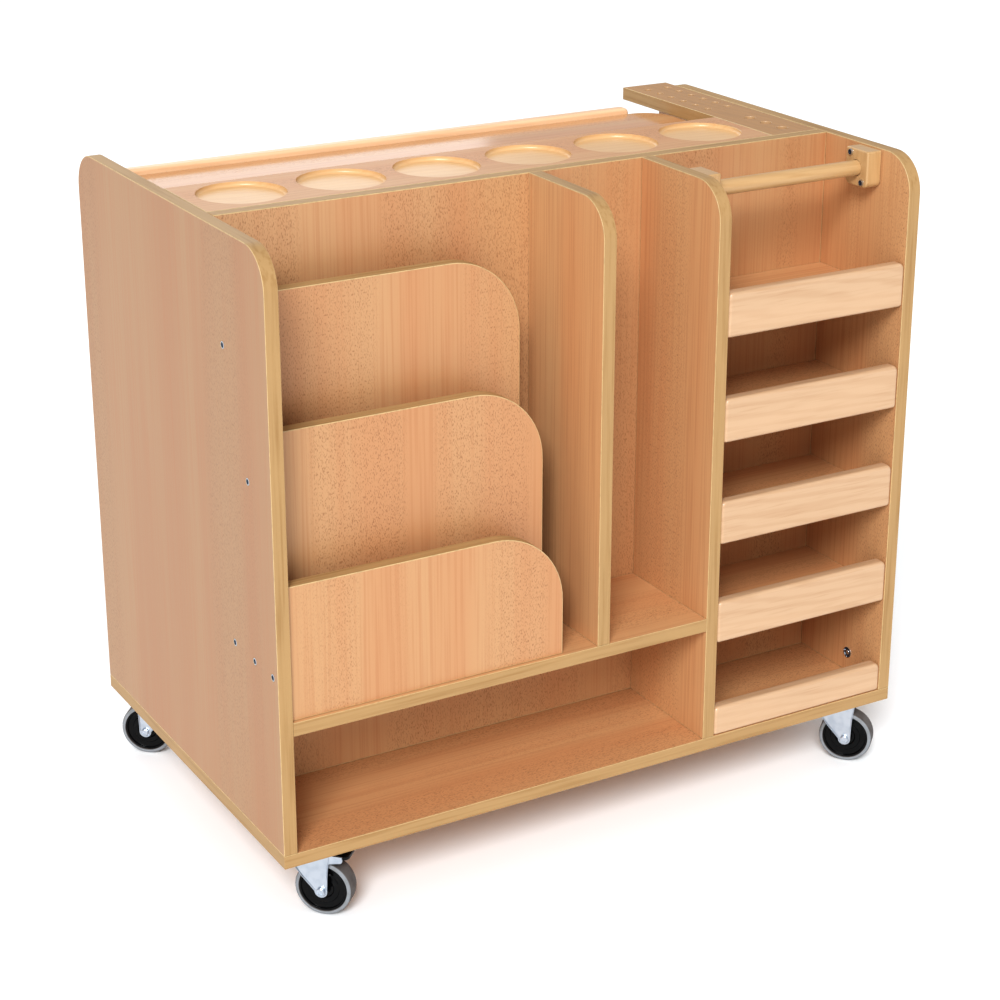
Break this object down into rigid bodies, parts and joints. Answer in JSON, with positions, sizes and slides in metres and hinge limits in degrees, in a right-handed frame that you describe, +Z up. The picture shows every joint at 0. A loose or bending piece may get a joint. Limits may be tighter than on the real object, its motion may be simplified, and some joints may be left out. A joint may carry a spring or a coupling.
{
  "type": "book cart",
  "caption": "Double-sided wooden book cart on swivel casters with stepped book panels, lipped trays, a paper-roll bar and a top with pot recesses and a tool block.",
  "frame": {"origin": "on the floor below the middle of the cart", "axes": "+X along the front from the book panels towards the trays, -Y out of the front, +Z up"},
  "size_m": [0.94, 0.59, 0.88],
  "materials": {
    "beech_laminate": "satin beech-effect laminate on board, with matching edge bands",
    "solid_beech": "clear satin lacquer on solid light wood",
    "tool_wood": "clear satin lacquer on layered board",
    "zinc": "bright zinc plate",
    "black_plastic": "gloss black",
    "grey_rubber": "soft grey, matt"
  },
  "bodies": {
    "cart_body": {"base_lip": "solid_beech", "base_panel": "beech_laminate", "book_divider": "beech_laminate", "book_shelf": "beech_laminate", "bracket_screw_left_1": "zinc", "bracket_screw_left_2": "zinc", "bracket_screw_right_1": "zinc", "bracket_screw_right_2": "zinc", "caster_front_left_plate": "zinc", "caster_front_right_plate": "zinc", "caster_rear_left_plate": "zinc", "caster_rear_right_plate": "zinc", "cup_board": "beech_laminate", "display_panel_front": "beech_laminate", "display_panel_middle": "beech_laminate", "display_panel_rear": "beech_laminate", "left_side_panel": "beech_laminate", "mid_back_panel": "beech_laminate", "rear_divider": "beech_laminate", "rear_lip": "solid_beech", "rear_shelf": "beech_laminate", "rear_top_board": "beech_laminate", "right_side_panel": "beech_laminate", "roll_bracket_left": "solid_beech", "roll_bracket_right": "solid_beech", "side_screw_front": "zinc", "side_screw_middle_lower": "zinc", "side_screw_middle_upper": "zinc", "side_screw_rear_lower": "zinc", "side_screw_rear_upper": "zinc", "tool_block": "tool_wood", "tray_divider": "beech_laminate", "tray_lip_1": "solid_beech", "tray_lip_2": "solid_beech", "tray_lip_3": "solid_beech", "tray_lip_4": "solid_beech", "tray_shelf_1": "beech_laminate", "tray_shelf_2": "beech_laminate", "tray_shelf_3": "beech_laminate", "tray_shelf_4": "beech_laminate"},
    "caster_front_left_swivel": {"caster_front_left_fork": "zinc", "caster_front_left_axle": "zinc"},
    "caster_front_left_wheel": {"caster_front_left_hub": "black_plastic", "caster_front_left_tyre": "grey_rubber"},
    "caster_front_left_brake_lever": {"caster_front_left_brake": "black_plastic"},
    "caster_front_right_swivel": {"caster_front_right_fork": "zinc", "caster_front_right_axle": "zinc"},
    "caster_front_right_wheel": {"caster_front_right_hub": "black_plastic", "caster_front_right_tyre": "grey_rubber"},
    "caster_rear_left_swivel": {"caster_rear_left_fork": "zinc", "caster_rear_left_axle": "zinc"},
    "caster_rear_left_wheel": {"caster_rear_left_hub": "black_plastic", "caster_rear_left_tyre": "grey_rubber"},
    "caster_rear_right_swivel": {"caster_rear_right_fork": "zinc", "caster_rear_right_axle": "zinc"},
    "caster_rear_right_wheel": {"caster_rear_right_hub": "black_plastic", "caster_rear_right_tyre": "grey_rubber"},
    "caster_rear_right_brake_lever": {"caster_rear_right_brake": "black_plastic"},
    "paper_roll_bar": {"roll_bar": "solid_beech"}
  },
  "joints": [
    {"name": "caster_front_left_swivel_turn", "type": "hinge", "parent": "cart_body", "child": "caster_front_left_swivel", "pos_m": [-0.413, -0.246, 0.093], "axis": [0, 0, 1], "continuous": true},
    {"name": "caster_front_left_wheel_spin", "type": "hinge", "parent": "caster_front_left_swivel", "child": "caster_front_left_wheel", "pos_m": [-0.39886, -0.26014, 0.0375], "axis": [0.7071, 0.7071, 0], "continuous": true},
    {"name": "caster_front_left_brake_press", "type": "hinge", "parent": "caster_front_left_swivel", "child": "caster_front_left_brake_lever", "pos_m": [-0.39108, -0.26792, 0.0868], "axis": [0.7071, 0.7071, 0], "range_deg": [0, 15]},
    {"name": "caster_front_right_swivel_turn", "type": "hinge", "parent": "cart_body", "child": "caster_front_right_swivel", "pos_m": [0.413, -0.246, 0.093], "axis": [0, 0, 1], "continuous": true},
    {"name": "caster_front_right_wheel_spin", "type": "hinge", "parent": "caster_front_right_swivel", "child": "caster_front_right_wheel", "pos_m": [0.42664, -0.26063, 0.0375], "axis": [0.7314, 0.682, 0], "continuous": true},
    {"name": "caster_rear_left_swivel_turn", "type": "hinge", "parent": "cart_body", "child": "caster_rear_left_swivel", "pos_m": [-0.413, 0.246, 0.093], "axis": [0, 0, 1], "continuous": true},
    {"name": "caster_rear_left_wheel_spin", "type": "hinge", "parent": "caster_rear_left_swivel", "child": "caster_rear_left_wheel", "pos_m": [-0.42832, 0.25886, 0.0375], "axis": [-0.6428, -0.766, 0], "continuous": true},
    {"name": "caster_rear_right_swivel_turn", "type": "hinge", "parent": "cart_body", "child": "caster_rear_right_swivel", "pos_m": [0.413, 0.246, 0.093], "axis": [0, 0, 1], "continuous": true},
    {"name": "caster_rear_right_wheel_spin", "type": "hinge", "parent": "caster_rear_right_swivel", "child": "caster_rear_right_wheel", "pos_m": [0.39662, 0.23453, 0.0375], "axis": [0.5736, -0.8192, 0], "continuous": true},
    {"name": "caster_rear_right_brake_press", "type": "hinge", "parent": "caster_rear_right_swivel", "child": "caster_rear_right_brake_lever", "pos_m": [0.38761, 0.22822, 0.0868], "axis": [0.5736, -0.8192, 0], "range_deg": [0, 15]},
    {"name": "roll_bar_spin", "type": "hinge", "parent": "cart_body", "child": "paper_roll_bar", "pos_m": [0.31075, -0.212, 0.853], "axis": [1, 0, 0], "continuous": true}
  ]
}
